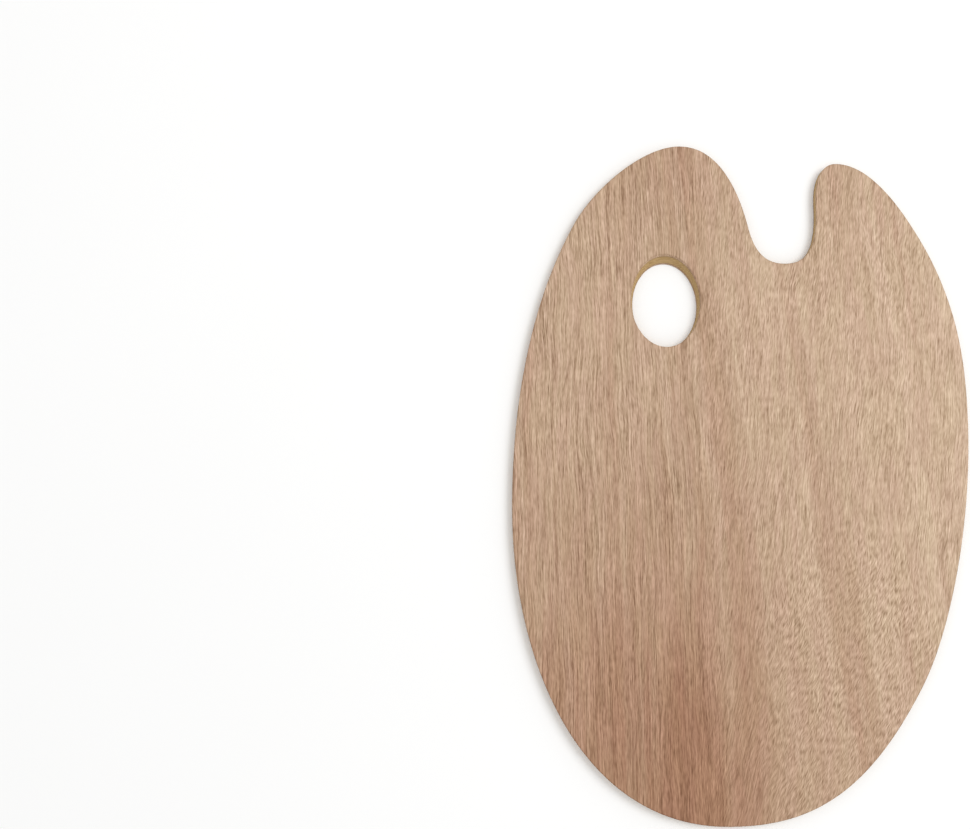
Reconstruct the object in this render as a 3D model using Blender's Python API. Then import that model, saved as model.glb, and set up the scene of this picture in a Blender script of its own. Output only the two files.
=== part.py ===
"""Wooden mixing palette: a plywood board with a bevelled thumb hole and a finger notch.

The board is three wood plies bonded face to face by two films of glue. Every ply and film has the
same outline and is cut by the same thumb hole, so the five pieces form a stack:

    face_veneer      thin, grain along Y, the side that paint is mixed on
    face_glue_film
    core_veneer      thick, grain across the board, along X
    back_glue_film
    back_veneer      thin, grain along Y, the side that lies on the table

The frame's origin is in the middle of the underside. X runs across the board, Y along it towards the
head, and Z up out of the mixing face. The design values are in millimetres, and MM turns them into
metres.
"""

import math
from collections import namedtuple

import bmesh
import bpy
from mathutils import Vector
from mathutils.geometry import interpolate_bezier

MM = 0.001

# The board.
HALF_LENGTH = 150.0
HALF_WIDTH = 101.5
THICKNESS = 4.0
FACE_VENEER = 0.7
BACK_VENEER = 0.6
GLUE_FILM = 0.1
BOND_GAP = 0.02          # clearance between two glued pieces, so that their flat faces never share a plane
ARRIS = 0.4              # the rounding of the board's two outer edges
ARRIS_SEGMENTS = 3
FACET_ANGLE = 4.0        # degrees that the outline turns from one facet to the next

# The thumb hole is an ellipse on the mixing face. It narrows towards the back, where it is the same
# ellipse scaled about its lower end, so its wall slopes most at the upper end and is upright at the lower.
HOLE_CENTRE = (-31.7, 76.8)
HOLE_RADII = (15.8, 21.4)
HOLE_BACK_SCALE = 0.915
HOLE_ARRIS = 0.3         # the rounding of the hole's two rims
HOLE_FACETS = 96
CUTTER_MARGIN = 2.0      # how far the cutter stands out of the board on each side

# A point that the outline passes through: its place, the direction of travel there in degrees, and how
# far the curve's handles reach back and ahead. Travel is counter-clockwise seen from above.
Anchor = namedtuple("Anchor", "x y heading back ahead")

OUTLINE = (
    Anchor(-23.5, HALF_LENGTH, 180, 17, 17),       # crest of the head
    Anchor(-72.5, 113.0, 241, 19, 20),             # shoulder beside the thumb hole
    Anchor(-HALF_WIDTH, -18.0, 270, 72, 65),       # left flank
    Anchor(-11.5, -HALF_LENGTH, 360, 62, 35),      # foot
    Anchor(74.5, -92.0, 420, 52, 25),              # lower right quarter
    Anchor(HALF_WIDTH, 31.0, 450, 52, 16),         # right flank
    Anchor(84.5, 106.5, 478, 35, 12),              # back of the horn
    Anchor(48.5, 141.5, 540, 17, 8),               # crest of the horn
    Anchor(38.5, 122.5, 630, 8, 14),               # inner side of the horn
    Anchor(23.0, 94.0, 540, 14, 10),               # bottom of the finger notch
    Anchor(7.0, 111.0, 462, 10, 21),               # side of the head in the notch
)

Finish = namedtuple("Finish", "color roughness metallic")

FINISHES = {
    "face_veneer": Finish((0.527, 0.360, 0.245, 1.0), 0.62, 0.0),
    "core_veneer": Finish((0.440, 0.300, 0.165, 1.0), 0.70, 0.0),
    "back_veneer": Finish((0.500, 0.335, 0.225, 1.0), 0.65, 0.0),
    "glue_film": Finish((0.230, 0.140, 0.075, 1.0), 0.45, 0.0),
}


def clear_scene():
    for obj in list(bpy.data.objects):
        bpy.data.objects.remove(obj)


def make_material(name):
    finish = FINISHES[name]
    material = bpy.data.materials.new(name)
    material.use_nodes = True
    shader = material.node_tree.nodes["Principled BSDF"]
    shader.inputs["Base Color"].default_value = finish.color
    shader.inputs["Roughness"].default_value = finish.roughness
    shader.inputs["Metallic"].default_value = finish.metallic
    material.diffuse_color = finish.color
    return material


def link_mesh(bm, name, material, parent):
    mesh = bpy.data.meshes.new(name)
    bmesh.ops.recalc_face_normals(bm, faces=bm.faces)
    bm.to_mesh(mesh)
    bm.free()
    mesh.materials.append(material)
    obj = bpy.data.objects.new(name, mesh)
    obj.parent = parent
    bpy.context.collection.objects.link(obj)
    return obj


def direction(degrees):
    angle = math.radians(degrees)
    return Vector((math.cos(angle), math.sin(angle), 0.0))


def outline_points():
    """The board's outline, as points in metres with about FACET_ANGLE between one facet and the next."""
    points = []
    for here, there in zip(OUTLINE, OUTLINE[1:] + OUTLINE[:1]):
        start = Vector((here.x, here.y, 0.0)) * MM
        end = Vector((there.x, there.y, 0.0)) * MM
        leave = start + direction(here.heading) * here.ahead * MM
        arrive = end - direction(there.heading) * there.back * MM
        turn = abs((there.heading - here.heading + 180) % 360 - 180)
        facets = math.ceil(turn / FACET_ANGLE)
        points += interpolate_bezier(start, leave, arrive, end, facets + 1)[:-1]
    return points


def make_sheet(name, bottom, top, material, parent, rounded_side=None):
    """A sheet with the board's outline, from height bottom to height top in millimetres.

    rounded_side, +1 for the upper and -1 for the lower, names the outer edge that is rounded.
    """
    bm = bmesh.new()
    corners = [bm.verts.new(point) for point in outline_points()]
    base = bm.faces.new(corners)
    rise = Vector((0.0, 0.0, (top - bottom) * MM))
    extruded = bmesh.ops.extrude_face_region(bm, geom=[base])["geom"]
    raised = [item for item in extruded if isinstance(item, bmesh.types.BMVert)]
    bmesh.ops.translate(bm, verts=raised, vec=rise)
    if rounded_side:
        rim_height = rise.z if rounded_side > 0 else 0.0
        rim = [edge for edge in bm.edges if all(abs(v.co.z - rim_height) < 0.01 * MM for v in edge.verts)]
        bmesh.ops.bevel(
            bm, geom=rim, offset=ARRIS * MM, segments=ARRIS_SEGMENTS, profile=0.5, affect="EDGES"
        )
    sheet = link_mesh(bm, name, material, parent)
    sheet.location.z = bottom * MM
    return sheet


def hole_ring(height, widening):
    """Points of the hole's outline at a height in millimetres, with both its radii widened."""
    scale = HOLE_BACK_SCALE + (1.0 - HOLE_BACK_SCALE) * height / THICKNESS
    radius_x = HOLE_RADII[0] * scale + widening
    radius_y = HOLE_RADII[1] * scale + widening
    centre_x = HOLE_CENTRE[0]
    centre_y = HOLE_CENTRE[1] - HOLE_RADII[1] * (1.0 - scale)
    ring = []
    for step in range(HOLE_FACETS):
        angle = math.tau * step / HOLE_FACETS
        x = centre_x + radius_x * math.cos(angle)
        y = centre_y + radius_y * math.sin(angle)
        ring.append(Vector((x, y, height)) * MM)
    return ring


def make_hole_cutter(parent):
    """The thumb hole as a solid: it follows the sloping wall and flares where it leaves each face."""
    flare = HOLE_ARRIS + CUTTER_MARGIN
    levels = (
        (-CUTTER_MARGIN, flare),
        (HOLE_ARRIS, 0.0),
        (THICKNESS - HOLE_ARRIS, 0.0),
        (THICKNESS + CUTTER_MARGIN, flare),
    )
    bm = bmesh.new()
    rings = []
    for height, widening in levels:
        verts = [bm.verts.new(point) for point in hole_ring(height, widening)]
        rings.append([bm.edges.new(pair) for pair in zip(verts, verts[1:] + verts[:1])])
    for lower, upper in zip(rings, rings[1:]):
        bmesh.ops.bridge_loops(bm, edges=lower + upper)
    for ring in (rings[0], rings[-1]):
        bmesh.ops.contextual_create(bm, geom=ring)
    cutter = link_mesh(bm, "hole_cutter", bpy.data.materials.new("cutter"), parent)
    cutter.hide_render = True
    cutter.display_type = "WIRE"
    return cutter


def cut(sheet, cutter):
    boolean = sheet.modifiers.new("thumb_hole", "BOOLEAN")
    boolean.operation = "DIFFERENCE"
    boolean.solver = "EXACT"
    boolean.object = cutter


def main():
    clear_scene()
    palette = bpy.data.objects.new("palette", None)
    bpy.context.collection.objects.link(palette)
    materials = {name: make_material(name) for name in FINISHES}

    back_film_bottom = BACK_VENEER + BOND_GAP
    core_bottom = back_film_bottom + GLUE_FILM + BOND_GAP
    face_bottom = THICKNESS - FACE_VENEER
    face_film_bottom = face_bottom - BOND_GAP - GLUE_FILM
    core_top = face_film_bottom - BOND_GAP
    back_film_top = back_film_bottom + GLUE_FILM
    face_film_top = face_film_bottom + GLUE_FILM

    stack = (
        make_sheet("back_veneer", 0.0, BACK_VENEER, materials["back_veneer"], palette, rounded_side=-1),
        make_sheet("back_glue_film", back_film_bottom, back_film_top, materials["glue_film"], palette),
        make_sheet("core_veneer", core_bottom, core_top, materials["core_veneer"], palette),
        make_sheet("face_glue_film", face_film_bottom, face_film_top, materials["glue_film"], palette),
        make_sheet("face_veneer", face_bottom, THICKNESS, materials["face_veneer"], palette, rounded_side=1),
    )
    hole_cutter = make_hole_cutter(palette)
    for sheet in stack:
        cut(sheet, hole_cutter)


main()
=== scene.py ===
"""Looks of the wooden mixing palette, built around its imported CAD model.

The CAD model is a stack of five faceted sheets. Each sheet is replaced here by a finer piece of the same
size: a smooth outline instead of facets, rounded and slightly worn arrises, cut walls that show the fibres,
and outer faces that aren't perfectly flat. All shapes are worked out from the CAD sheets.

The wood is drawn in three dimensions, with its fibres along Y in the two outer veneers and along X in the
core, so the grain runs on correctly from the faces onto the cut edges. Node trees work in millimetres.
"""

import math
from collections import namedtuple

import bmesh
import bpy
import numpy as np
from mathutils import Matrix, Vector, noise
from mathutils.geometry import delaunay_2d_cdt

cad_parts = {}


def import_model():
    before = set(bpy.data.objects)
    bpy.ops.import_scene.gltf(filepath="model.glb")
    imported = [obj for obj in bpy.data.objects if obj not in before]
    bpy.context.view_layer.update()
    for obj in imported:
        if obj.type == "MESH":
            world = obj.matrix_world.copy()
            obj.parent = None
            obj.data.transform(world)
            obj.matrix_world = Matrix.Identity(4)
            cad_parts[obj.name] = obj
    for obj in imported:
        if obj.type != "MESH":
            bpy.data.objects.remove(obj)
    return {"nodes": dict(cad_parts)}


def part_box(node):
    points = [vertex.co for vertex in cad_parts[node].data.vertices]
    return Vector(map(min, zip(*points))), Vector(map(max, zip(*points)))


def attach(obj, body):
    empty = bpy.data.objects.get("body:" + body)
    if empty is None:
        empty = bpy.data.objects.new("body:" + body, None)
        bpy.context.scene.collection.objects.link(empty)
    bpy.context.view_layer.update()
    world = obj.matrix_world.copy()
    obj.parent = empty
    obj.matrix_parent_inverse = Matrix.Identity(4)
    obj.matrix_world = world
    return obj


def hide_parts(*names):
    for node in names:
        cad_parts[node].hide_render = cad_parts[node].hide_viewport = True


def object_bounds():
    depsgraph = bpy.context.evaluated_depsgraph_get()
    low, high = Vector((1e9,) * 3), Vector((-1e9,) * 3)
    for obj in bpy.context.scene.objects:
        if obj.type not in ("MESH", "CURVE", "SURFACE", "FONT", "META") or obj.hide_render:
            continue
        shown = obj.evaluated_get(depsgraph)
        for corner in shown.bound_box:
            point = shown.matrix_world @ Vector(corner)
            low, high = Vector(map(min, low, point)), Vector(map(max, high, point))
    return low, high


MM = 0.001

# Meshes, in millimetres.
OUTLINE_STEP = 0.5       # along the outer edge
HOLE_STEP = 0.3          # along the rim of the thumb hole
WALL_STEP = 0.15         # up a cut wall
FACE_STEP = 1.6          # across the two faces that can be seen
RIM_CLEARANCE = 0.6      # least distance from a face's inner points to its rims, as a share of FACE_STEP
CURVE_STEPS = 20         # from one corner of a CAD loop to the next, before equal steps are marked off
WELD_DISTANCE = 0.001    # CAD corners nearer to each other than this are one
FLAT_NORMAL = 0.99       # a CAD face belongs to a cap if the upright part of its normal is longer than this
SHARP_ANGLE = 40.0       # degrees, above which an edge is shaded as a sharp one

# Arrises, which are the rounded edges between a face and a cut wall.
ARRIS_STEPS = 6          # round an arris
ARRIS_SHELF = 0.25       # width of a flat ring beside an arris, which keeps its shading off the face
HOLE_ARRIS_SHARE = 0.8   # size of the thumb hole's arrises, as a share of the outer edge's

# The rim attribute, which is 0 on the faces. The face veneer's material darkens the wood by it.
RIM_ON_WALL = 0.3
RIM_ON_ARRIS = 1.0

# The relief of a material's cut walls: the axis that it is long along (0 for X, 1 for Y), its depth, and
# how far the wall lies inside the CAD wall. Both distances are in millimetres.
Cut = namedtuple("Cut", "fibre_axis relief recess")
VENEER_CUT = Cut(1, 0.05, 0.0)
CORE_CUT = Cut(0, 0.07, 0.03)
GLUE_CUT = Cut(0, 0.03, 0.02)

# Unevenness, in millimetres.
FACE_WAVE = 0.02         # depth of the ripples in the two outer faces
FACE_WAVE_SIZE = (14.0, 60.0)                # across and along the fibres
FACE_WAVE_SEED = 0.5
FIBRE_WIDTH = 0.35       # size of the fibre bundles that show on a cut wall
FIBRE_LENGTH = 6.0
ARRIS_WEAR = 0.12        # how much the rounding of an arris varies, as a share of it
ARRIS_WEAR_LENGTH = 9.0

# Camera, light and floor. Lengths are in metres.
CAMERA_PLACE = (-0.1135, -0.0276, 0.397)     # from the middle of the mixing face
CAMERA_TILT = 7.5        # degrees from straight down, towards the head of the palette
CAMERA_LENS = 33.4       # millimetres, like the sensor
SENSOR_WIDTH = 36.0
FLOOR_RADIUS = 6.0
FLOOR_SIDES = 96
FLOOR_DROP = 0.0001      # below the palette's underside, so that the two never share a plane
SOFTBOX_PLACE = (1.00, 0.50, 1.40)           # from the middle of the mixing face
SOFTBOX_SIZE = 1.00
SOFTBOX_POWER = 13.0
SKY_STRENGTH = 0.80
BACKDROP_STRENGTH = 0.77


# ---- Outlines, read from the CAD sheets ----


def cap_loops(node, side):
    """The closed loops round a CAD sheet's flat cap, in millimetres, as (outer loop, hole loop).

    side is +1 for the upper cap and -1 for the lower. Both loops run counter-clockwise.
    """
    bm = bmesh.new()
    bm.from_mesh(node.data)
    bmesh.ops.remove_doubles(bm, verts=bm.verts, dist=WELD_DISTANCE * MM)
    bm.normal_update()
    following = {}
    for face in bm.faces:
        if side * face.normal.z < FLAT_NORMAL:
            continue
        for loop in face.loops:
            other = loop.link_loop_radial_next.face
            if side * other.normal.z < FLAT_NORMAL:
                following[loop.vert.index] = loop.link_loop_next.vert.index
    places = {vert.index: np.array(vert.co) / MM for vert in bm.verts}
    bm.free()
    loops = []
    while following:
        first = here = next(iter(following))
        chain = []
        while here in following:
            chain.append(places[here])
            here = following.pop(here)
        assert here == first, "a cap's edges make closed loops"
        loops.append(counter_clockwise(np.array(chain)))
    outer, hole = sorted(loops, key=lambda loop: -np.ptp(loop[:, 1]))
    return outer, hole


def counter_clockwise(loop):
    x, y = loop[:, 0], loop[:, 1]
    area = np.sum(x * np.roll(y, -1) - y * np.roll(x, -1))
    return loop if area > 0 else loop[::-1]


def smooth_loop(loop, step):
    """A smooth closed curve through a loop's points, as points in the plane at equal steps."""
    points = loop[:, :2]
    chords = np.roll(points, -1, axis=0) - points
    lengths = np.linalg.norm(chords, axis=1)
    slopes = chords / lengths[:, None]
    before, ahead = np.roll(lengths, 1)[:, None], lengths[:, None]
    tangents = (np.roll(slopes, 1, axis=0) * ahead + slopes * before) / (before + ahead)
    end_points, end_tangents = np.roll(points, -1, axis=0), np.roll(tangents, -1, axis=0)
    pieces = []
    for t in np.arange(0, 1, 1 / CURVE_STEPS):
        pieces.append(
            (2 * t**3 - 3 * t**2 + 1) * points
            + (t**3 - 2 * t**2 + t) * tangents * ahead
            + (3 * t**2 - 2 * t**3) * end_points
            + (t**3 - t**2) * end_tangents * ahead
        )
    fine = np.stack(pieces, axis=1).reshape(-1, 2)
    closed = np.vstack([fine, fine[:1]])
    along = np.concatenate([[0], np.cumsum(np.linalg.norm(np.diff(closed, axis=0), axis=1))])
    stations = np.linspace(0, along[-1], round(along[-1] / step), endpoint=False)
    return np.stack([np.interp(stations, along, closed[:, axis]) for axis in (0, 1)], axis=1)


class Outline:
    """The board's outer edge. outward points away from the wood."""

    def __init__(self, loop):
        self.points = smooth_loop(loop, OUTLINE_STEP)
        tangents = np.roll(self.points, -1, axis=0) - np.roll(self.points, 1, axis=0)
        tangents /= np.linalg.norm(tangents, axis=1)[:, None]
        self.outward = np.stack([tangents[:, 1], -tangents[:, 0]], axis=1)

    def ring(self, height, inset):
        """Points at a height, moved into the wood by inset, one number or one for each point."""
        moved = self.points - self.outward * np.reshape(inset, (-1, 1))
        return np.column_stack([moved, np.full(len(moved), height)])


class ThumbHole:
    """The thumb hole's sloping wall: an ellipse at every height, set by those of one sheet's two caps."""

    def __init__(self, lower_loop, upper_loop):
        self.low, self.high = (self.measure(loop) for loop in (lower_loop, upper_loop))
        perimeter = math.pi * (self.high[3] + self.high[4])
        self.angles = np.linspace(0, math.tau, round(perimeter / HOLE_STEP), endpoint=False)
        self.outward = -np.column_stack([np.cos(self.angles), np.sin(self.angles)])

    @staticmethod
    def measure(loop):
        """Height, centre and radii of an elliptical loop."""
        low, high = loop.min(axis=0), loop.max(axis=0)
        centre, radii = (low + high) / 2, (high - low) / 2
        return np.array([centre[2], centre[0], centre[1], radii[0], radii[1]])

    def ring(self, height, inset):
        """Points at a height, moved into the wood by inset, one number or one for each point."""
        share = (height - self.low[0]) / (self.high[0] - self.low[0])
        x, y, radius_x, radius_y = (self.low + (self.high - self.low) * share)[1:]
        across = x + (radius_x + inset) * np.cos(self.angles)
        along = y + (radius_y + inset) * np.sin(self.angles)
        return np.column_stack([across, along, np.full(len(across), height)])


# ---- Sheets ----


def wear_along(points, seed):
    """How worn an arris is at each of its points: 1 on average."""
    size = ARRIS_WEAR_LENGTH
    wear = [noise.noise(Vector((x / size, y / size, seed))) for x, y in points[:, :2]]
    return 1 + ARRIS_WEAR * np.array(wear)


def fibre_relief(points, cut, seed):
    """How far fibre bundles stand out of a cut wall at each point. They are long along the fibres."""
    sizes = np.full(3, FIBRE_WIDTH)
    sizes[cut.fibre_axis] = FIBRE_LENGTH
    return cut.relief * np.array([noise.noise(Vector((x, y, z + seed))) for x, y, z in points / sizes])


def ripple(points):
    """Depth of a face's ripples at each of its points. They are long along the fibres."""
    wide, long = FACE_WAVE_SIZE
    heights = [noise.noise(Vector((x / wide, y / long, FACE_WAVE_SEED))) for x, y in points]
    return FACE_WAVE * np.abs(heights)


# One ring of a cut wall: its height, how far it lies inside the wall where the wear is average, and its
# value of the rim attribute.
WallStep = namedtuple("WallStep", "height inset rim")


def wall_profile(bottom, top, lower_arris, upper_arris):
    """The steps up a cut wall. An arris is given by its radius, and one of 0 is a sharp edge."""
    straight_bottom, straight_top = bottom + lower_arris, top - upper_arris
    steps = []
    if lower_arris:
        steps.append(WallStep(bottom, lower_arris + ARRIS_SHELF, 0.0))
        for turn in np.linspace(0, math.pi / 2, ARRIS_STEPS, endpoint=False):
            height = bottom + lower_arris * (1 - math.cos(turn))
            steps.append(WallStep(height, lower_arris * (1 - math.sin(turn)), RIM_ON_ARRIS))
    count = max(1, round((straight_top - straight_bottom) / WALL_STEP))
    for height in np.linspace(straight_bottom, straight_top, count + 1):
        steps.append(WallStep(height, 0.0, RIM_ON_WALL))
    if upper_arris:
        for turn in np.linspace(0, math.pi / 2, ARRIS_STEPS + 1)[1:]:
            height = straight_top + upper_arris * math.sin(turn)
            steps.append(WallStep(height, upper_arris * (1 - math.cos(turn)), RIM_ON_ARRIS))
        steps.append(WallStep(top, upper_arris + ARRIS_SHELF, 0.0))
    return steps


def lay_rings(edge, steps, cut, seed):
    """One cut wall's rings of points, bottom to top, and the rim value of each point."""
    wear = wear_along(edge.ring(0, 0), seed)
    rings, rims = [], []
    for step in steps:
        ring = edge.ring(step.height, step.inset * wear)
        if step.rim:
            relief = fibre_relief(ring, cut, seed)
            ring[:, :2] += edge.outward * (relief - cut.recess)[:, None]
        rings.append(ring)
        rims.append(np.full(len(ring), step.rim))
    return rings, rims


def wall_faces(start, rings, turn):
    """The faces between rings whose points count from start. turn is -1 for a wall round a hole."""
    count = len(rings[0])
    faces = []
    for level in range(len(rings) - 1):
        base = start + level * count
        for i in range(count):
            j = (i + 1) % count
            quad = (base + i, base + j, base + count + j, base + count + i)
            faces.append(quad[::turn])
    return faces


def ring_indices(start, rings, level):
    """Which vertices make up one of the rings whose points count from start. Level -1 is the highest."""
    count = len(rings[0])
    return start + level % len(rings) * count + np.arange(count)


def inside(points, ring):
    """Which points lie inside a closed ring, by counting the ring's crossings to their right."""
    crossings = np.zeros(len(points), bool)
    ends = np.roll(ring, -1, axis=0)
    x, y = points[:, 0], points[:, 1]
    for (x0, y0), (x1, y1) in zip(ring[:, :2], ends[:, :2]):
        if y0 == y1:
            continue
        spans = (y0 > y) != (y1 > y)
        crossings ^= spans & (x < x0 + (y - y0) * (x1 - x0) / (y1 - y0))
    return crossings


def face_points(outer_ring, hole_ring):
    """A staggered grid of points on a face, clear of its two rims."""
    low, high = outer_ring.min(axis=0), outer_ring.max(axis=0)
    row_step = FACE_STEP * math.sqrt(0.75)     # the height of a triangle with three equal sides
    rows = []
    for row, y in enumerate(np.arange(low[1], high[1], row_step)):
        offset = FACE_STEP / 2 * (row % 2)
        xs = np.arange(low[0] + offset, high[0], FACE_STEP)
        rows.append(np.column_stack([xs, np.full(len(xs), y)]))
    points = np.vstack(rows)
    keep = inside(points, outer_ring) & ~inside(points, hole_ring)
    for corner in np.vstack([outer_ring, hole_ring])[:, :2]:
        keep &= np.linalg.norm(points - corner, axis=1) > FACE_STEP * RIM_CLEARANCE
    return points[keep]


def triangulate(outer_ring, hole_ring, inner_points):
    """Triangles of a cap. Indices count the outer ring first, then the hole's ring, then inner_points."""
    flat = np.vstack([outer_ring[:, :2], hole_ring[:, :2], inner_points])
    outer_count, hole_count = len(outer_ring), len(hole_ring)
    edges = [(i, (i + 1) % outer_count) for i in range(outer_count)]
    edges += [(outer_count + i, outer_count + (i + 1) % hole_count) for i in range(hole_count)]
    inside_edges, tolerance = 1, 1e-7
    made = delaunay_2d_cdt([Vector(point) for point in flat], edges, [], inside_edges, tolerance)
    sources = [original[0] for original in made[3]]
    triangles = np.array([[sources[i] for i in face] for face in made[2]])
    centres = flat[triangles].mean(axis=1)
    return triangles[~inside(centres, hole_ring)]


Sheet = namedtuple("Sheet", "node slot material cut seed lower_arris upper_arris", defaults=[0.0, 0.0])


def build_sheet(spec, outline, hole):
    """One piece of the board: two walls of rings, closed by two triangulated caps."""
    low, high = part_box(spec.node)
    bottom, top = low.z / MM, high.z / MM
    outer_arrises = (spec.lower_arris, spec.upper_arris)
    hole_arrises = (spec.lower_arris * HOLE_ARRIS_SHARE, spec.upper_arris * HOLE_ARRIS_SHARE)
    outer_steps, hole_steps = (wall_profile(bottom, top, *pair) for pair in (outer_arrises, hole_arrises))
    outer_rings, outer_rims = lay_rings(outline, outer_steps, spec.cut, spec.seed)
    hole_rings, hole_rims = lay_rings(hole, hole_steps, spec.cut, spec.seed)
    hole_start = len(outer_rings) * len(outer_rings[0])

    vertices = np.vstack(outer_rings + hole_rings)
    rims = np.concatenate(outer_rims + hole_rims)
    faces = wall_faces(0, outer_rings, 1) + wall_faces(hole_start, hole_rings, -1)

    for level, side, height, arris in ((0, -1, bottom, spec.lower_arris), (-1, 1, top, spec.upper_arris)):
        outer_ring, hole_ring = outer_rings[level], hole_rings[level]
        # A cap beside an arris is one of the board's two faces, and needs inner points for its ripples.
        inner_points = face_points(outer_ring, hole_ring) if arris else np.zeros((0, 2))
        inner_heights = height - side * ripple(inner_points)
        inner_indices = len(vertices) + np.arange(len(inner_points))
        rim_indices = [ring_indices(0, outer_rings, level), ring_indices(hole_start, hole_rings, level)]
        indices = np.concatenate([*rim_indices, inner_indices])
        vertices = np.vstack([vertices, np.column_stack([inner_points, inner_heights])])
        rims = np.concatenate([rims, np.zeros(len(inner_points))])
        for triangle in triangulate(outer_ring, hole_ring, inner_points):
            faces.append(tuple(indices[triangle])[::side])
    link_sheet(spec, vertices, faces, rims)


def link_sheet(spec, vertices, faces, rims):
    """The sheet's object, standing in for its CAD node."""
    mesh = bpy.data.meshes.new(spec.node + "_fine")
    mesh.from_pydata((vertices * MM).tolist(), [], [tuple(int(i) for i in face) for face in faces])
    mesh.validate()
    rim = mesh.attributes.new("rim", "FLOAT", "POINT")
    rim.data.foreach_set("value", rims.astype(np.float32))
    mesh.shade_smooth()
    mesh.set_sharp_from_angle(angle=math.radians(SHARP_ANGLE))
    mesh.materials.append(spec.material)
    piece = bpy.data.objects.new(spec.node + "_fine", mesh)
    bpy.context.scene.collection.objects.link(piece)
    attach(piece, "root")
    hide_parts(spec.node)


# ---- Node trees ----


NOISE_ROUGHNESS = 0.6    # how strong each finer layer of a noise is, as a share of the one before

# What Graph.smooth takes after its value.
Run = namedtuple("Run", "low high at_low at_high", defaults=[0.0, 1.0])


class Graph:
    """A material's node tree. Each method adds one node and returns the socket with its result."""

    def __init__(self, name):
        self.material = bpy.data.materials.new(name)
        self.material.use_nodes = True
        self.tree = self.material.node_tree
        self.shader = self.tree.nodes["Principled BSDF"]

    def add(self, kind, inputs, **settings):
        """A node of a kind. Its inputs are given by name or number, and may be other nodes' sockets."""
        node = self.tree.nodes.new("ShaderNode" + kind)
        for name, value in settings.items():
            setattr(node, name, value)
        for key, value in inputs.items():
            self.feed(node.inputs[key], value)
        return node

    def feed(self, target, value):
        if isinstance(value, bpy.types.NodeSocket):
            self.tree.links.new(value, target)
        else:
            target.default_value = value

    def math(self, operation, *values):
        return self.add("Math", dict(enumerate(values)), operation=operation).outputs[0]

    def combine(self, x, y, z):
        return self.add("CombineXYZ", {0: x, 1: y, 2: z}).outputs[0]

    def scale(self, vector, factor):
        return self.add("VectorMath", {0: vector, "Scale": factor}, operation="SCALE").outputs[0]

    def position(self):
        """The point's place in the frame, in millimetres, as three sockets."""
        place = self.add("TexCoord", {}).outputs["Object"]
        return self.add("SeparateXYZ", {0: self.scale(place, 1 / MM)}).outputs[:3]

    def noise(self, vector, detail):
        inputs = {"Vector": vector, "Scale": 1.0, "Detail": detail, "Roughness": NOISE_ROUGHNESS}
        return self.add("TexNoise", inputs).outputs["Fac"]

    def smooth(self, value, low, high, at_low, at_high):
        """Runs smoothly from at_low to at_high as value goes from low to high."""
        inputs = {"Value": value, "From Min": low, "From Max": high, "To Min": at_low, "To Max": at_high}
        return self.add("MapRange", inputs, interpolation_type="SMOOTHSTEP").outputs[0]

    def blend(self, share, low, high):
        """A number that is low where share is 0 and high where it is 1."""
        return self.add("Mix", {"Factor": share, 2: low, 3: high}, data_type="FLOAT").outputs[0]

    def tint(self, share, base, color, mode="MIX"):
        inputs = {0: share, 6: base, 7: color}
        return self.add("Mix", inputs, data_type="RGBA", blend_type=mode).outputs[2]

    def ramp(self, value, stops):
        """A colour for each value, through (value, colour) stops."""
        node = self.add("ValToRGB", {0: value})
        elements = node.color_ramp.elements
        while len(elements) < len(stops):
            elements.new(1.0)
        for element, (place, color) in zip(elements, stops):
            element.position = place
            element.color = (*color, 1.0)
        return node.outputs["Color"]


def total(graph, *values):
    result = values[0]
    for value in values[1:]:
        result = graph.math("ADD", result, value)
    return result


def cross_fade(graph, share, first, second):
    """Goes from one texture to another with no loss of contrast half way. Both are 0 on average."""
    angle = graph.math("MULTIPLY", share, math.pi / 2)
    first_part = graph.math("MULTIPLY", first, graph.math("COSINE", angle))
    return graph.math("MULTIPLY_ADD", second, graph.math("SINE", angle), first_part)


def profile(graph, value, stops):
    """A number for each value, through (value, number) stops, with straight runs between them."""
    places, numbers = zip(*stops)
    start, span = places[0], places[-1] - places[0]
    floor, height = min(numbers), max(numbers) - min(numbers)
    share = graph.math("DIVIDE", graph.math("SUBTRACT", value, start), span)
    levels = [((place - start) / span, ((number - floor) / height,) * 3) for place, number in stops]
    return graph.math("MULTIPLY_ADD", graph.ramp(share, levels), height, floor)


# Smooth noise with patches of a width and length, in millimetres. More detail adds smaller patches.
Cloud = namedtuple("Cloud", "width length seed detail", defaults=[2.0])


def cloudy(graph, across, along, cloud):
    """The cloud's value at each point: from 0 to 1, and 0.5 on average."""
    place = graph.combine(
        graph.math("DIVIDE", across, cloud.width), graph.math("DIVIDE", along, cloud.length), cloud.seed
    )
    return graph.noise(place, cloud.detail)


def swing(graph, value, amount):
    """Turns noise round 0.5 into noise round 0, and multiplies it by amount."""
    return graph.math("MULTIPLY", graph.math("SUBTRACT", value, 0.5), amount)


def drifted(graph, across, along, cloud, amount):
    """The across coordinate, pushed aside by up to about amount, so that the grain wanders."""
    aside = graph.math("SUBTRACT", cloudy(graph, across, along, cloud), 0.5)
    return graph.math("MULTIPLY_ADD", aside, 2 * amount, across)


# An elliptical patch on a face, in millimetres.
Patch = namedtuple("Patch", "x y radius_x radius_y amount", defaults=[1.0])
PATCH_CORE = 0.25        # the share of a patch's area that has its full amount


def patchy(graph, x, y, patch):
    """The patch's amount in its middle, falling smoothly to 0 at its rim."""
    across = graph.math("DIVIDE", graph.math("SUBTRACT", x, patch.x), patch.radius_x)
    along = graph.math("DIVIDE", graph.math("SUBTRACT", y, patch.y), patch.radius_y)
    squared = graph.math("MULTIPLY_ADD", across, across, graph.math("MULTIPLY", along, along))
    return graph.smooth(squared, PATCH_CORE, 1.0, patch.amount, 0.0)


# ---- Grain ----


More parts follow.
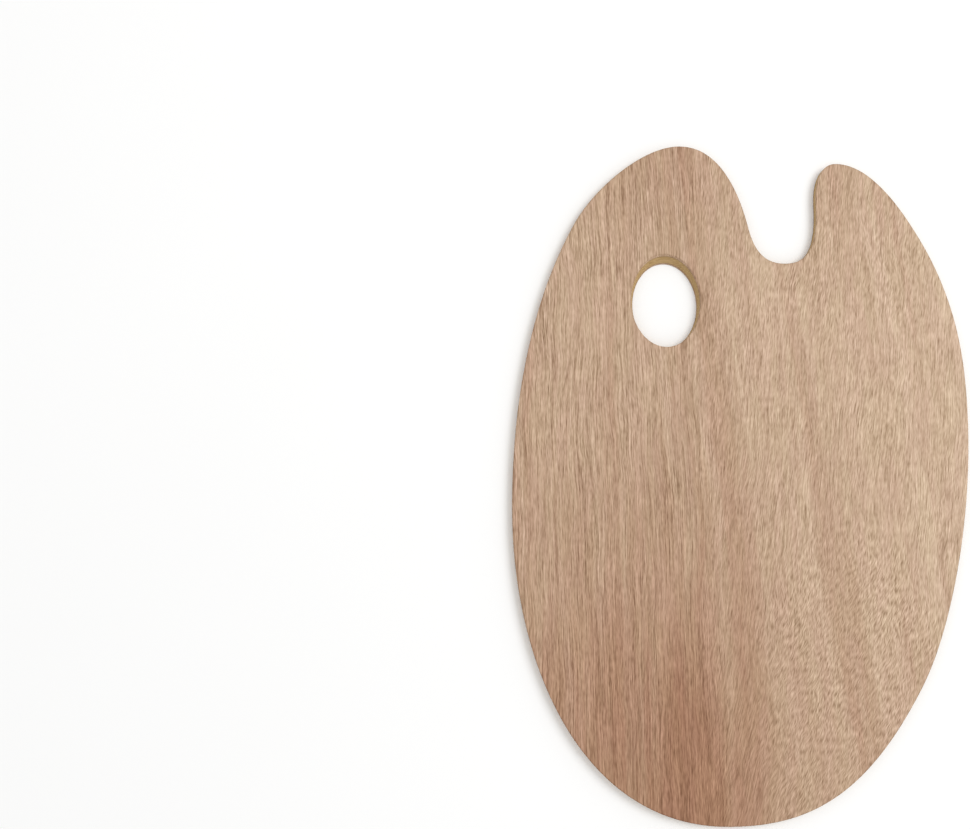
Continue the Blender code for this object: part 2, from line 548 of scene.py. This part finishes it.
# Marks of the grain. width and length are in millimetres. lean is in degrees from the fibres, and turns the
# marks to the right towards the head. strength is on the scale of grain_color.
Marks = namedtuple("Marks", "width length lean strength detail", defaults=[0.0])

GRAIN_START = 171.3      # millimetres from the middle, off the board, where marks of all lengths line up
DASH_CORE = 0.10         # a dash has its full strength this near to its middle, measured in marks
DASH_RIM = 0.28          # and has ended this far from it
HAIRLINE_HALF_WIDTH = 0.045    # in values of the noise that a hairline follows


def in_marks(graph, place, marks):
    """A place, given as (across, along, depth), measured in marks."""
    across, along, depth = place
    leaned = graph.math("MULTIPLY_ADD", along, -math.tan(math.radians(marks.lean)), across)
    return graph.combine(
        graph.math("DIVIDE", leaned, marks.width),
        graph.math("DIVIDE", graph.math("ADD", along, GRAIN_START), marks.length),
        graph.math("DIVIDE", depth, marks.width),
    )


def strokes(graph, place, *layers):
    """Fine marks, drawn out along the fibres. Each layer is 0 on average, and strength at its lightest."""
    parts = []
    for marks in layers:
        value = graph.noise(in_marks(graph, place, marks), marks.detail)
        parts.append(swing(graph, value, 2 * marks.strength))
    return total(graph, *parts)


def vessels(graph, place, marks):
    """Cut vessels: short dashes, up to strength in their middles and 0 between them."""
    cells = graph.add("TexVoronoi", {"Vector": in_marks(graph, place, marks), "Scale": 1.0})
    dash = graph.smooth(cells.outputs["Distance"], DASH_CORE, DASH_RIM, marks.strength, 0.0)
    chance = graph.add("SeparateColor", {0: cells.outputs["Color"]}).outputs[0]
    return graph.math("MULTIPLY", dash, chance)


def hairlines(graph, place, marks):
    """Long thin lines, where a drawn-out noise crosses its middle value."""
    value = graph.noise(in_marks(graph, place, marks), marks.detail)
    aside = graph.math("ABSOLUTE", graph.math("SUBTRACT", value, 0.5))
    return graph.smooth(aside, 0.0, HAIRLINE_HALF_WIDTH, marks.strength, 0.0)


# ---- Colour ----


GRAIN_DARKEST = 92       # the grain darkens a wood by up to this many display levels
GRAIN_LIGHTEST = 68      # and lightens it by up to this many
GRAIN_STOPS = 7

# What the figure does to a veneer's colour: dark wood is redder, light wood is yellower. The factors are
# halved here and doubled again when they are used, because a ramp's colours end at 1.
FIGURE_TINTS = (
    (0.00, (0.265, 0.165, 0.135)),
    (0.40, (0.365, 0.285, 0.250)),
    (0.60, (0.435, 0.392, 0.370)),
    (0.80, (0.50, 0.50, 0.50)),
    (1.00, (0.585, 0.63, 0.65)),
)
FIGURE_ZERO = 0.8        # where a figure of 0 is on that ramp
FIGURE_UNIT = 0.2        # how much further along it a figure of 1 is

WOOD_IOR = 1.45
WOOD_SPECULAR = 0.35


def srgb(red, green, blue):
    """A colour given as 0 to 255 display levels, as linear light."""
    return tuple(((max(level, 0) / 255 + 0.055) / 1.055) ** 2.4 for level in (red, green, blue))


def grain_color(graph, grain, base):
    """The base colour, given in display levels, darkened and lightened by grain, from -1 to 1."""
    stops = []
    for share in np.linspace(-1, 1, GRAIN_STOPS):
        change = share * (GRAIN_LIGHTEST if share > 0 else GRAIN_DARKEST)
        stops.append(((share + 1) / 2, srgb(*(level + change for level in base))))
    return graph.ramp(graph.math("MULTIPLY_ADD", grain, 0.5, 0.5), stops)


def figure_tinted(graph, color, figure):
    """The colour under the figure: 0 leaves it as it is, 1 is lightest and -4 is darkest."""
    place = graph.math("MULTIPLY_ADD", figure, FIGURE_UNIT, FIGURE_ZERO)
    factors = graph.scale(graph.ramp(place, FIGURE_TINTS), 2.0)
    return graph.tint(1.0, color, factors, "MULTIPLY")


def finish_wood(graph, color, roughness, height, bump_depth):
    """The finished material, with its colour, roughness and relief. bump_depth is in millimetres."""
    bump = graph.add("Bump", {"Height": height, "Distance": bump_depth * MM, "Strength": 1.0})
    graph.feed(graph.shader.inputs["Base Color"], color)
    graph.feed(graph.shader.inputs["Roughness"], roughness)
    graph.feed(graph.shader.inputs["Normal"], bump.outputs["Normal"])
    graph.shader.inputs["IOR"].default_value = WOOD_IOR
    graph.shader.inputs["Specular IOR Level"].default_value = WOOD_SPECULAR
    return graph.material


# ---- The face veneer ----


FACE_BASE = (184, 154, 129)                  # display levels
FACE_DRIFT = Cloud(32.0, 75.0, 0.0)
FACE_DRIFT_AMOUNT = 4.0
FACE_BUMP = 0.05         # millimetres
FACE_ROUGHNESS = Run(-0.4, 0.4, 0.72, 0.58)

# The grain is upright on the left and leans on the right. The leaning grain also curves over, by SWEEP
# times the square of the distance below SWEEP_START. In the two curls the grain turns into wavy slanting
# marks, which get short in the middle of the stronger curl.
RIGHT_HALF = Run(-28.0, -2.0)
SWEEP = 0.00075
SWEEP_START = 20.0       # millimetres below the middle
CURL_SLANTS = Run(0.0, 0.5)
CURL_SHORTENS = Run(0.5, 1.0)
CURL_DRIFT = Cloud(5.0, 7.0, 7.0)
CURL_DRIFT_AMOUNT = 1.1
LOWER_RIGHT_CURL = Patch(46, -100, 50, 88)
NOTCH_CURL = Patch(40, 95, 75, 50, 0.2)
UPRIGHT_STROKES = (
    Marks(0.44, 2.4, -0.5, 0.22),
    Marks(0.44, 7.0, -0.5, 0.33),
    Marks(0.42, 27.0, -0.5, 0.35),
)
LEANING_STROKES = (
    Marks(0.44, 2.4, 9.0, 0.25),
    Marks(0.46, 6.5, 8.0, 0.31),
    Marks(0.44, 26.0, 7.0, 0.25),
    Marks(1.40, 6.0, 9.0, 0.07),
)
WAVY_STROKES = (
    Marks(0.45, 3.0, 9.0, 0.50),
    Marks(1.40, 4.5, 12.0, 0.12),
)
SHORT_STROKES = (
    Marks(0.45, 2.4, 14.0, 0.52),
    Marks(1.40, 3.6, 18.0, 0.14),
)
FINEST_STROKES = Marks(0.17, 3.5, 2.0, 0.22)
LEFT_VESSELS = Marks(0.70, 9.0, -1.0, 0.18)
RIGHT_VESSELS = Marks(0.70, 3.4, 8.0, 0.15)
FACE_HAIRLINES = Marks(2.4, 70.0, 0.0, 0.16, 1.0)
RIGHT_HAIRLINES_SHARE = 0.4
BOLDNESS = Cloud(16.0, 38.0, 5.0)
BOLDNESS_RANGE = Run(0.25, 0.75, 0.80, 1.20)
RIM_DARKENING = 0.10

# The figure across the face, as (millimetres across, tone) stops. It is a row of bands that each start at a
# thin dark line. Tones are on the scale of figure_tinted.
FIGURE_BANDS = (
    (-110, -0.35),
    (-98, -0.20),
    (-92, 0.05),
    (-74, 0.12),
    (-62, 0.00),
    (-58, -0.28),
    (-54, -0.02),
    (-30, -0.10),
    (-16, -0.08),
    (-12, 0.22),
    (-9, -0.50),
    (-4, -0.40),
    (0, 0.10),
    (8, 0.42),
    (20, 0.46),
    (28, 0.66),
    (31, -0.18),
    (36, 0.18),
    (44, 0.50),
    (56, 0.60),
    (69, 0.55),
    (74, 0.95),
    (79, 0.90),
    (84, 0.52),
    (92, 0.80),
    (97, 1.00),
    (104, 0.95),
)

# The bands run askew on the right, by FIGURE_SLANT to the right for each millimetre towards the foot. They
# turn from upright to askew in UPPER_TURN on the upper half of the board, and in LOWER_TURN at the foot.
FIGURE_SLANT = 0.115
UPPER_TURN = (-55.0, -15.0)
LOWER_TURN = (-22.0, 34.0)
TURN_SHIFT = (-80.0, 0.0)                    # along the board, where the lower turn shifts to the upper
BROAD_BANDS = Cloud(8.0, 140.0, 3.0, 1.0)
BROAD_BANDS_AMOUNT = 0.9
NARROW_BANDS = Cloud(3.2, 140.0, 13.0, 1.0)
NARROW_BANDS_AMOUNT = 1.5
HEAD_TONE = Run(95.0, 150.0, 0.04, -0.34)
# Painted shade mixed with the wood's tone: the two lines below darken the face towards the foot, most on
# the left.
FOOT_TONE_AND_SHADE = Run(60.0, -150.0, 0.15, -1.05)
FOOT_TONE_AND_SHADE_SHARE = Run(-15.0, 10.0, 1.0, 0.40)    # how much of it applies, from left to right
DARK_HEART = Patch(-24, -155, 21, 118)       # a streak of dark wood that runs up from the foot
HEART_TONE = Run(0.3, 0.7, -0.30, -0.90)     # by the narrow bands that run through it
FIGURE_AND_SHADE_PATCHES = (       # darker and lighter regions, in tones
    # The first patch, dark at the lower left, is partly the wood's tone and partly painted shade.
    Patch(-62, -150, 62, 110, -0.52),
    Patch(88, -72, 48, 80, 0.22),
    Patch(60, 150, 60, 90, -0.26),
)

# The wood's hue wanders between two factors.
HUE = Cloud(7.0, 40.0, 11.0)
HUE_RANGE = Run(0.35, 0.65)
PINK = (1.015, 0.985, 0.99, 1.0)
YELLOW = (1.0, 1.005, 0.965, 1.0)


def face_grain(graph, across, x, y, z):
    """The face's fine grain: upright on the left, leaning on the right, and curly in two places."""
    below = graph.math("MINIMUM", graph.math("ADD", y, SWEEP_START), 0.0)
    sweep = graph.math("MULTIPLY_ADD", graph.math("MULTIPLY", below, below), SWEEP, across)
    place = (across, y, z)
    swept = (sweep, y, z)
    wavy = (drifted(graph, sweep, y, CURL_DRIFT, CURL_DRIFT_AMOUNT), y, z)
    right_half = graph.smooth(across, *RIGHT_HALF)
    curly = graph.math("MAXIMUM", patchy(graph, x, y, LOWER_RIGHT_CURL), patchy(graph, x, y, NOTCH_CURL))

    grain = strokes(graph, place, *UPRIGHT_STROKES)
    for share, where, layers in (
        (right_half, swept, LEANING_STROKES),
        (graph.smooth(curly, *CURL_SLANTS), wavy, WAVY_STROKES),
        (graph.smooth(curly, *CURL_SHORTENS), wavy, SHORT_STROKES),
    ):
        grain = cross_fade(graph, share, grain, strokes(graph, where, *layers))
    grain = graph.math("ADD", grain, strokes(graph, place, FINEST_STROKES))

    left_dashes, right_dashes = vessels(graph, place, LEFT_VESSELS), vessels(graph, wavy, RIGHT_VESSELS)
    dashes = graph.blend(right_half, left_dashes, right_dashes)
    lines = hairlines(graph, place, FACE_HAIRLINES)
    lines = graph.math("MULTIPLY", lines, graph.blend(right_half, 1.0, RIGHT_HAIRLINES_SHARE))
    grain = graph.math("SUBTRACT", grain, graph.math("ADD", dashes, lines))
    boldness = graph.smooth(cloudy(graph, x, y, BOLDNESS), *BOLDNESS_RANGE)
    return graph.math("MULTIPLY", grain, boldness)


def face_figure_and_shade(graph, across, x, y):
    """The face's broad figure: bands askew on the right, in wood that turns darker towards the foot, most
    on the left; part of that darkening is painted shade.
    """
    turn = [graph.smooth(y, *TURN_SHIFT, lower, upper) for lower, upper in zip(LOWER_TURN, UPPER_TURN)]
    slant = graph.smooth(x, *turn, 0.0, FIGURE_SLANT)
    askew = graph.math("MULTIPLY_ADD", y, slant, across)
    broad, narrow = cloudy(graph, askew, y, BROAD_BANDS), cloudy(graph, askew, y, NARROW_BANDS)
    return total(
        graph,
        profile(graph, askew, FIGURE_BANDS),
        swing(graph, broad, BROAD_BANDS_AMOUNT),
        swing(graph, narrow, NARROW_BANDS_AMOUNT),
        graph.smooth(y, *HEAD_TONE),
        # Darker towards the foot, most on the left: partly the wood's tone, partly painted shade.
        graph.math("MULTIPLY", graph.smooth(askew, *FOOT_TONE_AND_SHADE_SHARE), graph.smooth(y, *FOOT_TONE_AND_SHADE)),
        graph.math("MULTIPLY", patchy(graph, x, y, DARK_HEART), graph.smooth(narrow, *HEART_TONE)),
        *(patchy(graph, x, y, patch) for patch in FIGURE_AND_SHADE_PATCHES),
    )


def face_veneer_material():
    """Light red-brown veneer. Its fine grain is upright on the left, and wavy at the lower right."""
    graph = Graph("face_veneer_wood")
    x, y, z = graph.position()
    across = drifted(graph, x, y, FACE_DRIFT, FACE_DRIFT_AMOUNT)
    rim = graph.add("Attribute", {}, attribute_name="rim").outputs["Fac"]
    grain = graph.math("MULTIPLY_ADD", rim, -RIM_DARKENING, face_grain(graph, across, x, y, z))
    color = figure_tinted(graph, grain_color(graph, grain, FACE_BASE), face_figure_and_shade(graph, across, x, y))
    hue = graph.smooth(cloudy(graph, across, y, HUE), *HUE_RANGE)
    color = graph.tint(1.0, color, graph.tint(hue, PINK, YELLOW), "MULTIPLY")
    return finish_wood(graph, color, graph.smooth(grain, *FACE_ROUGHNESS), grain, FACE_BUMP)


# ---- The other plies and the glue ----


CORE_BASE = (177, 146, 100)                  # display levels
CORE_STROKES = Marks(0.70, 12.0, 1.0, 0.25, 1.0)
CORE_STREAKS = Marks(0.45, 30.0, 0.0, 0.34, 1.0)
CORE_VESSELS = Marks(0.90, 9.0, 1.0, 0.25)
CORE_BUMP = 0.08         # millimetres, like the other bumps
CORE_ROUGHNESS = Run(-0.4, 0.4, 0.82, 0.68)

BACK_BASE = (179, 149, 124)
BACK_DRIFT = Cloud(40.0, 110.0, 21.0)
BACK_DRIFT_AMOUNT = 7.0
BACK_STROKES = (
    Marks(0.44, 3.0, 1.5, 0.20),
    Marks(0.44, 10.0, 1.5, 0.28),
    Marks(0.42, 45.0, 1.5, 0.36),
    Marks(0.17, 3.5, 1.5, 0.20),
)
BACK_VESSELS = Marks(0.75, 10.0, 2.0, 0.20)
BACK_HAIRLINES = Marks(2.6, 80.0, 0.0, 0.18, 1.0)
BACK_BANDS = Cloud(9.0, 120.0, 23.0, 3.0)
BACK_BANDS_AMOUNT = 3.6
BACK_TONE = -0.1
BACK_BUMP = 0.06
BACK_ROUGHNESS = Run(-0.4, 0.4, 0.76, 0.62)

GLUE_COLORS = (
    (0.0, srgb(104, 78, 52)),
    (1.0, srgb(150, 120, 84)),
)
GLUE_PATCH_HEIGHT = 0.3  # millimetres
GLUE_DETAIL = 3.0
GLUE_BUMP = 0.03
GLUE_ROUGHNESS = Run(0.3, 0.7, 0.38, 0.60)


def core_material():
    """Plain yellowish wood with its fibres along X."""
    graph = Graph("core_veneer_wood")
    x, y, z = graph.position()
    place = (y, x, z)
    streaked = (z, x, y)
    grain = total(graph, strokes(graph, place, CORE_STROKES), strokes(graph, streaked, CORE_STREAKS))
    grain = graph.math("SUBTRACT", grain, vessels(graph, place, CORE_VESSELS))
    color = grain_color(graph, grain, CORE_BASE)
    return finish_wood(graph, color, graph.smooth(grain, *CORE_ROUGHNESS), grain, CORE_BUMP)


def back_veneer_material():
    """The same veneer as the face from another part of the log, with longer, plainer grain."""
    graph = Graph("back_veneer_wood")
    x, y, z = graph.position()
    across = drifted(graph, x, y, BACK_DRIFT, BACK_DRIFT_AMOUNT)
    place = (across, y, z)
    marks = graph.math("ADD", vessels(graph, place, BACK_VESSELS), hairlines(graph, place, BACK_HAIRLINES))
    grain = graph.math("SUBTRACT", strokes(graph, place, *BACK_STROKES), marks)
    bands = swing(graph, cloudy(graph, across, y, BACK_BANDS), BACK_BANDS_AMOUNT)
    figure = graph.math("ADD", bands, BACK_TONE)
    color = figure_tinted(graph, grain_color(graph, grain, BACK_BASE), figure)
    return finish_wood(graph, color, graph.smooth(grain, *BACK_ROUGHNESS), grain, BACK_BUMP)


def glue_material():
    """Hardened glue, soaked unevenly into the wood on both sides of it."""
    graph = Graph("glue_film_resin")
    x, y, z = graph.position()
    place = graph.combine(x, y, graph.math("DIVIDE", z, GLUE_PATCH_HEIGHT))
    soaked = graph.noise(place, GLUE_DETAIL)
    color = graph.ramp(soaked, GLUE_COLORS)
    return finish_wood(graph, color, graph.smooth(soaked, *GLUE_ROUGHNESS), soaked, GLUE_BUMP)


# ---- Studio ----


FLOOR_MOTTLE = Cloud(300.0, 300.0, 0.0)
FLOOR_DARK = (0.94, 0.94, 0.935, 1.0)
FLOOR_LIGHT = (0.97, 0.97, 0.965, 1.0)
FLOOR_ROUGHNESS = 0.9
FLOOR_SPECULAR = 0.1


def floor_material():
    graph = Graph("studio_floor")
    x, y = graph.position()[:2]
    color = graph.tint(cloudy(graph, x, y, FLOOR_MOTTLE), FLOOR_DARK, FLOOR_LIGHT)
    graph.feed(graph.shader.inputs["Base Color"], color)
    graph.shader.inputs["Roughness"].default_value = FLOOR_ROUGHNESS
    graph.shader.inputs["Specular IOR Level"].default_value = FLOOR_SPECULAR
    return graph.material


def make_floor():
    mesh = bpy.data.meshes.new("studio_floor")
    bm = bmesh.new()
    bmesh.ops.create_circle(bm, cap_ends=True, radius=FLOOR_RADIUS, segments=FLOOR_SIDES)
    bm.to_mesh(mesh)
    bm.free()
    mesh.materials.append(floor_material())
    floor = bpy.data.objects.new("studio_floor", mesh)
    floor.location.z = -FLOOR_DROP
    bpy.context.scene.collection.objects.link(floor)


def make_softbox(target):
    light = bpy.data.lights.new("softbox", "AREA")
    light.shape = "SQUARE"
    light.size = SOFTBOX_SIZE
    light.energy = SOFTBOX_POWER
    softbox = bpy.data.objects.new("softbox", light)
    softbox.location = Vector(target) + Vector(SOFTBOX_PLACE)
    softbox.rotation_euler = (Vector(target) - softbox.location).to_track_quat("-Z", "Y").to_euler()
    bpy.context.scene.collection.objects.link(softbox)


def make_sky():
    """Even white light from all round. The camera itself sees it at the backdrop's strength."""
    world = bpy.data.worlds.new("studio_sky")
    world.use_nodes = True
    tree = world.node_tree
    background = tree.nodes["Background"]
    background.inputs["Color"].default_value = (1.0, 1.0, 1.0, 1.0)
    seen = tree.nodes.new("ShaderNodeLightPath").outputs["Is Camera Ray"]
    strength = tree.nodes.new("ShaderNodeMapRange")
    strength.inputs["To Min"].default_value = SKY_STRENGTH
    strength.inputs["To Max"].default_value = BACKDROP_STRENGTH
    tree.links.new(seen, strength.inputs["Value"])
    tree.links.new(strength.outputs[0], background.inputs["Strength"])
    bpy.context.scene.world = world


def make_camera(target):
    lens = bpy.data.cameras.new("camera")
    lens.lens = CAMERA_LENS
    lens.sensor_width = SENSOR_WIDTH
    camera = bpy.data.objects.new("camera", lens)
    camera.location = Vector(target) + Vector(CAMERA_PLACE)
    camera.rotation_euler = (math.radians(CAMERA_TILT), 0.0, 0.0)
    bpy.context.scene.collection.objects.link(camera)
    bpy.context.scene.camera = camera


def make_sheets(nodes):
    """The five pieces of the board, from the underside up."""
    core_outer, core_upper_hole = cap_loops(nodes["core_veneer"], 1)
    core_lower_hole = cap_loops(nodes["core_veneer"], -1)[1]
    face_outer = cap_loops(nodes["face_veneer"], 1)[0]
    outline = Outline(core_outer)
    hole = ThumbHole(core_lower_hole, core_upper_hole)
    arris = (np.ptp(core_outer[:, 0]) - np.ptp(face_outer[:, 0])) / 2

    face_wood, core_wood, back_wood = face_veneer_material(), core_material(), back_veneer_material()
    glue = glue_material()
    sheets = (
        Sheet("back_veneer", "back_veneer", back_wood, VENEER_CUT, seed=1.0, lower_arris=arris),
        Sheet("back_glue_film", "glue_film", glue, GLUE_CUT, seed=2.0),
        Sheet("core_veneer", "core_veneer", core_wood, CORE_CUT, seed=3.0),
        Sheet("face_glue_film", "glue_film", glue, GLUE_CUT, seed=4.0),
        Sheet("face_veneer", "face_veneer", face_wood, VENEER_CUT, seed=5.0, upper_arris=arris),
    )
    for spec in sheets:
        build_sheet(spec, outline, hole)


def main():
    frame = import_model()
    cad_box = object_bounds()
    make_sheets(frame["nodes"])

    target = (0.0, 0.0, cad_box[1].z)
    make_floor()
    make_softbox(target)
    make_sky()
    make_camera(target)
    bpy.context.scene.view_settings.view_transform = "Standard"


main()
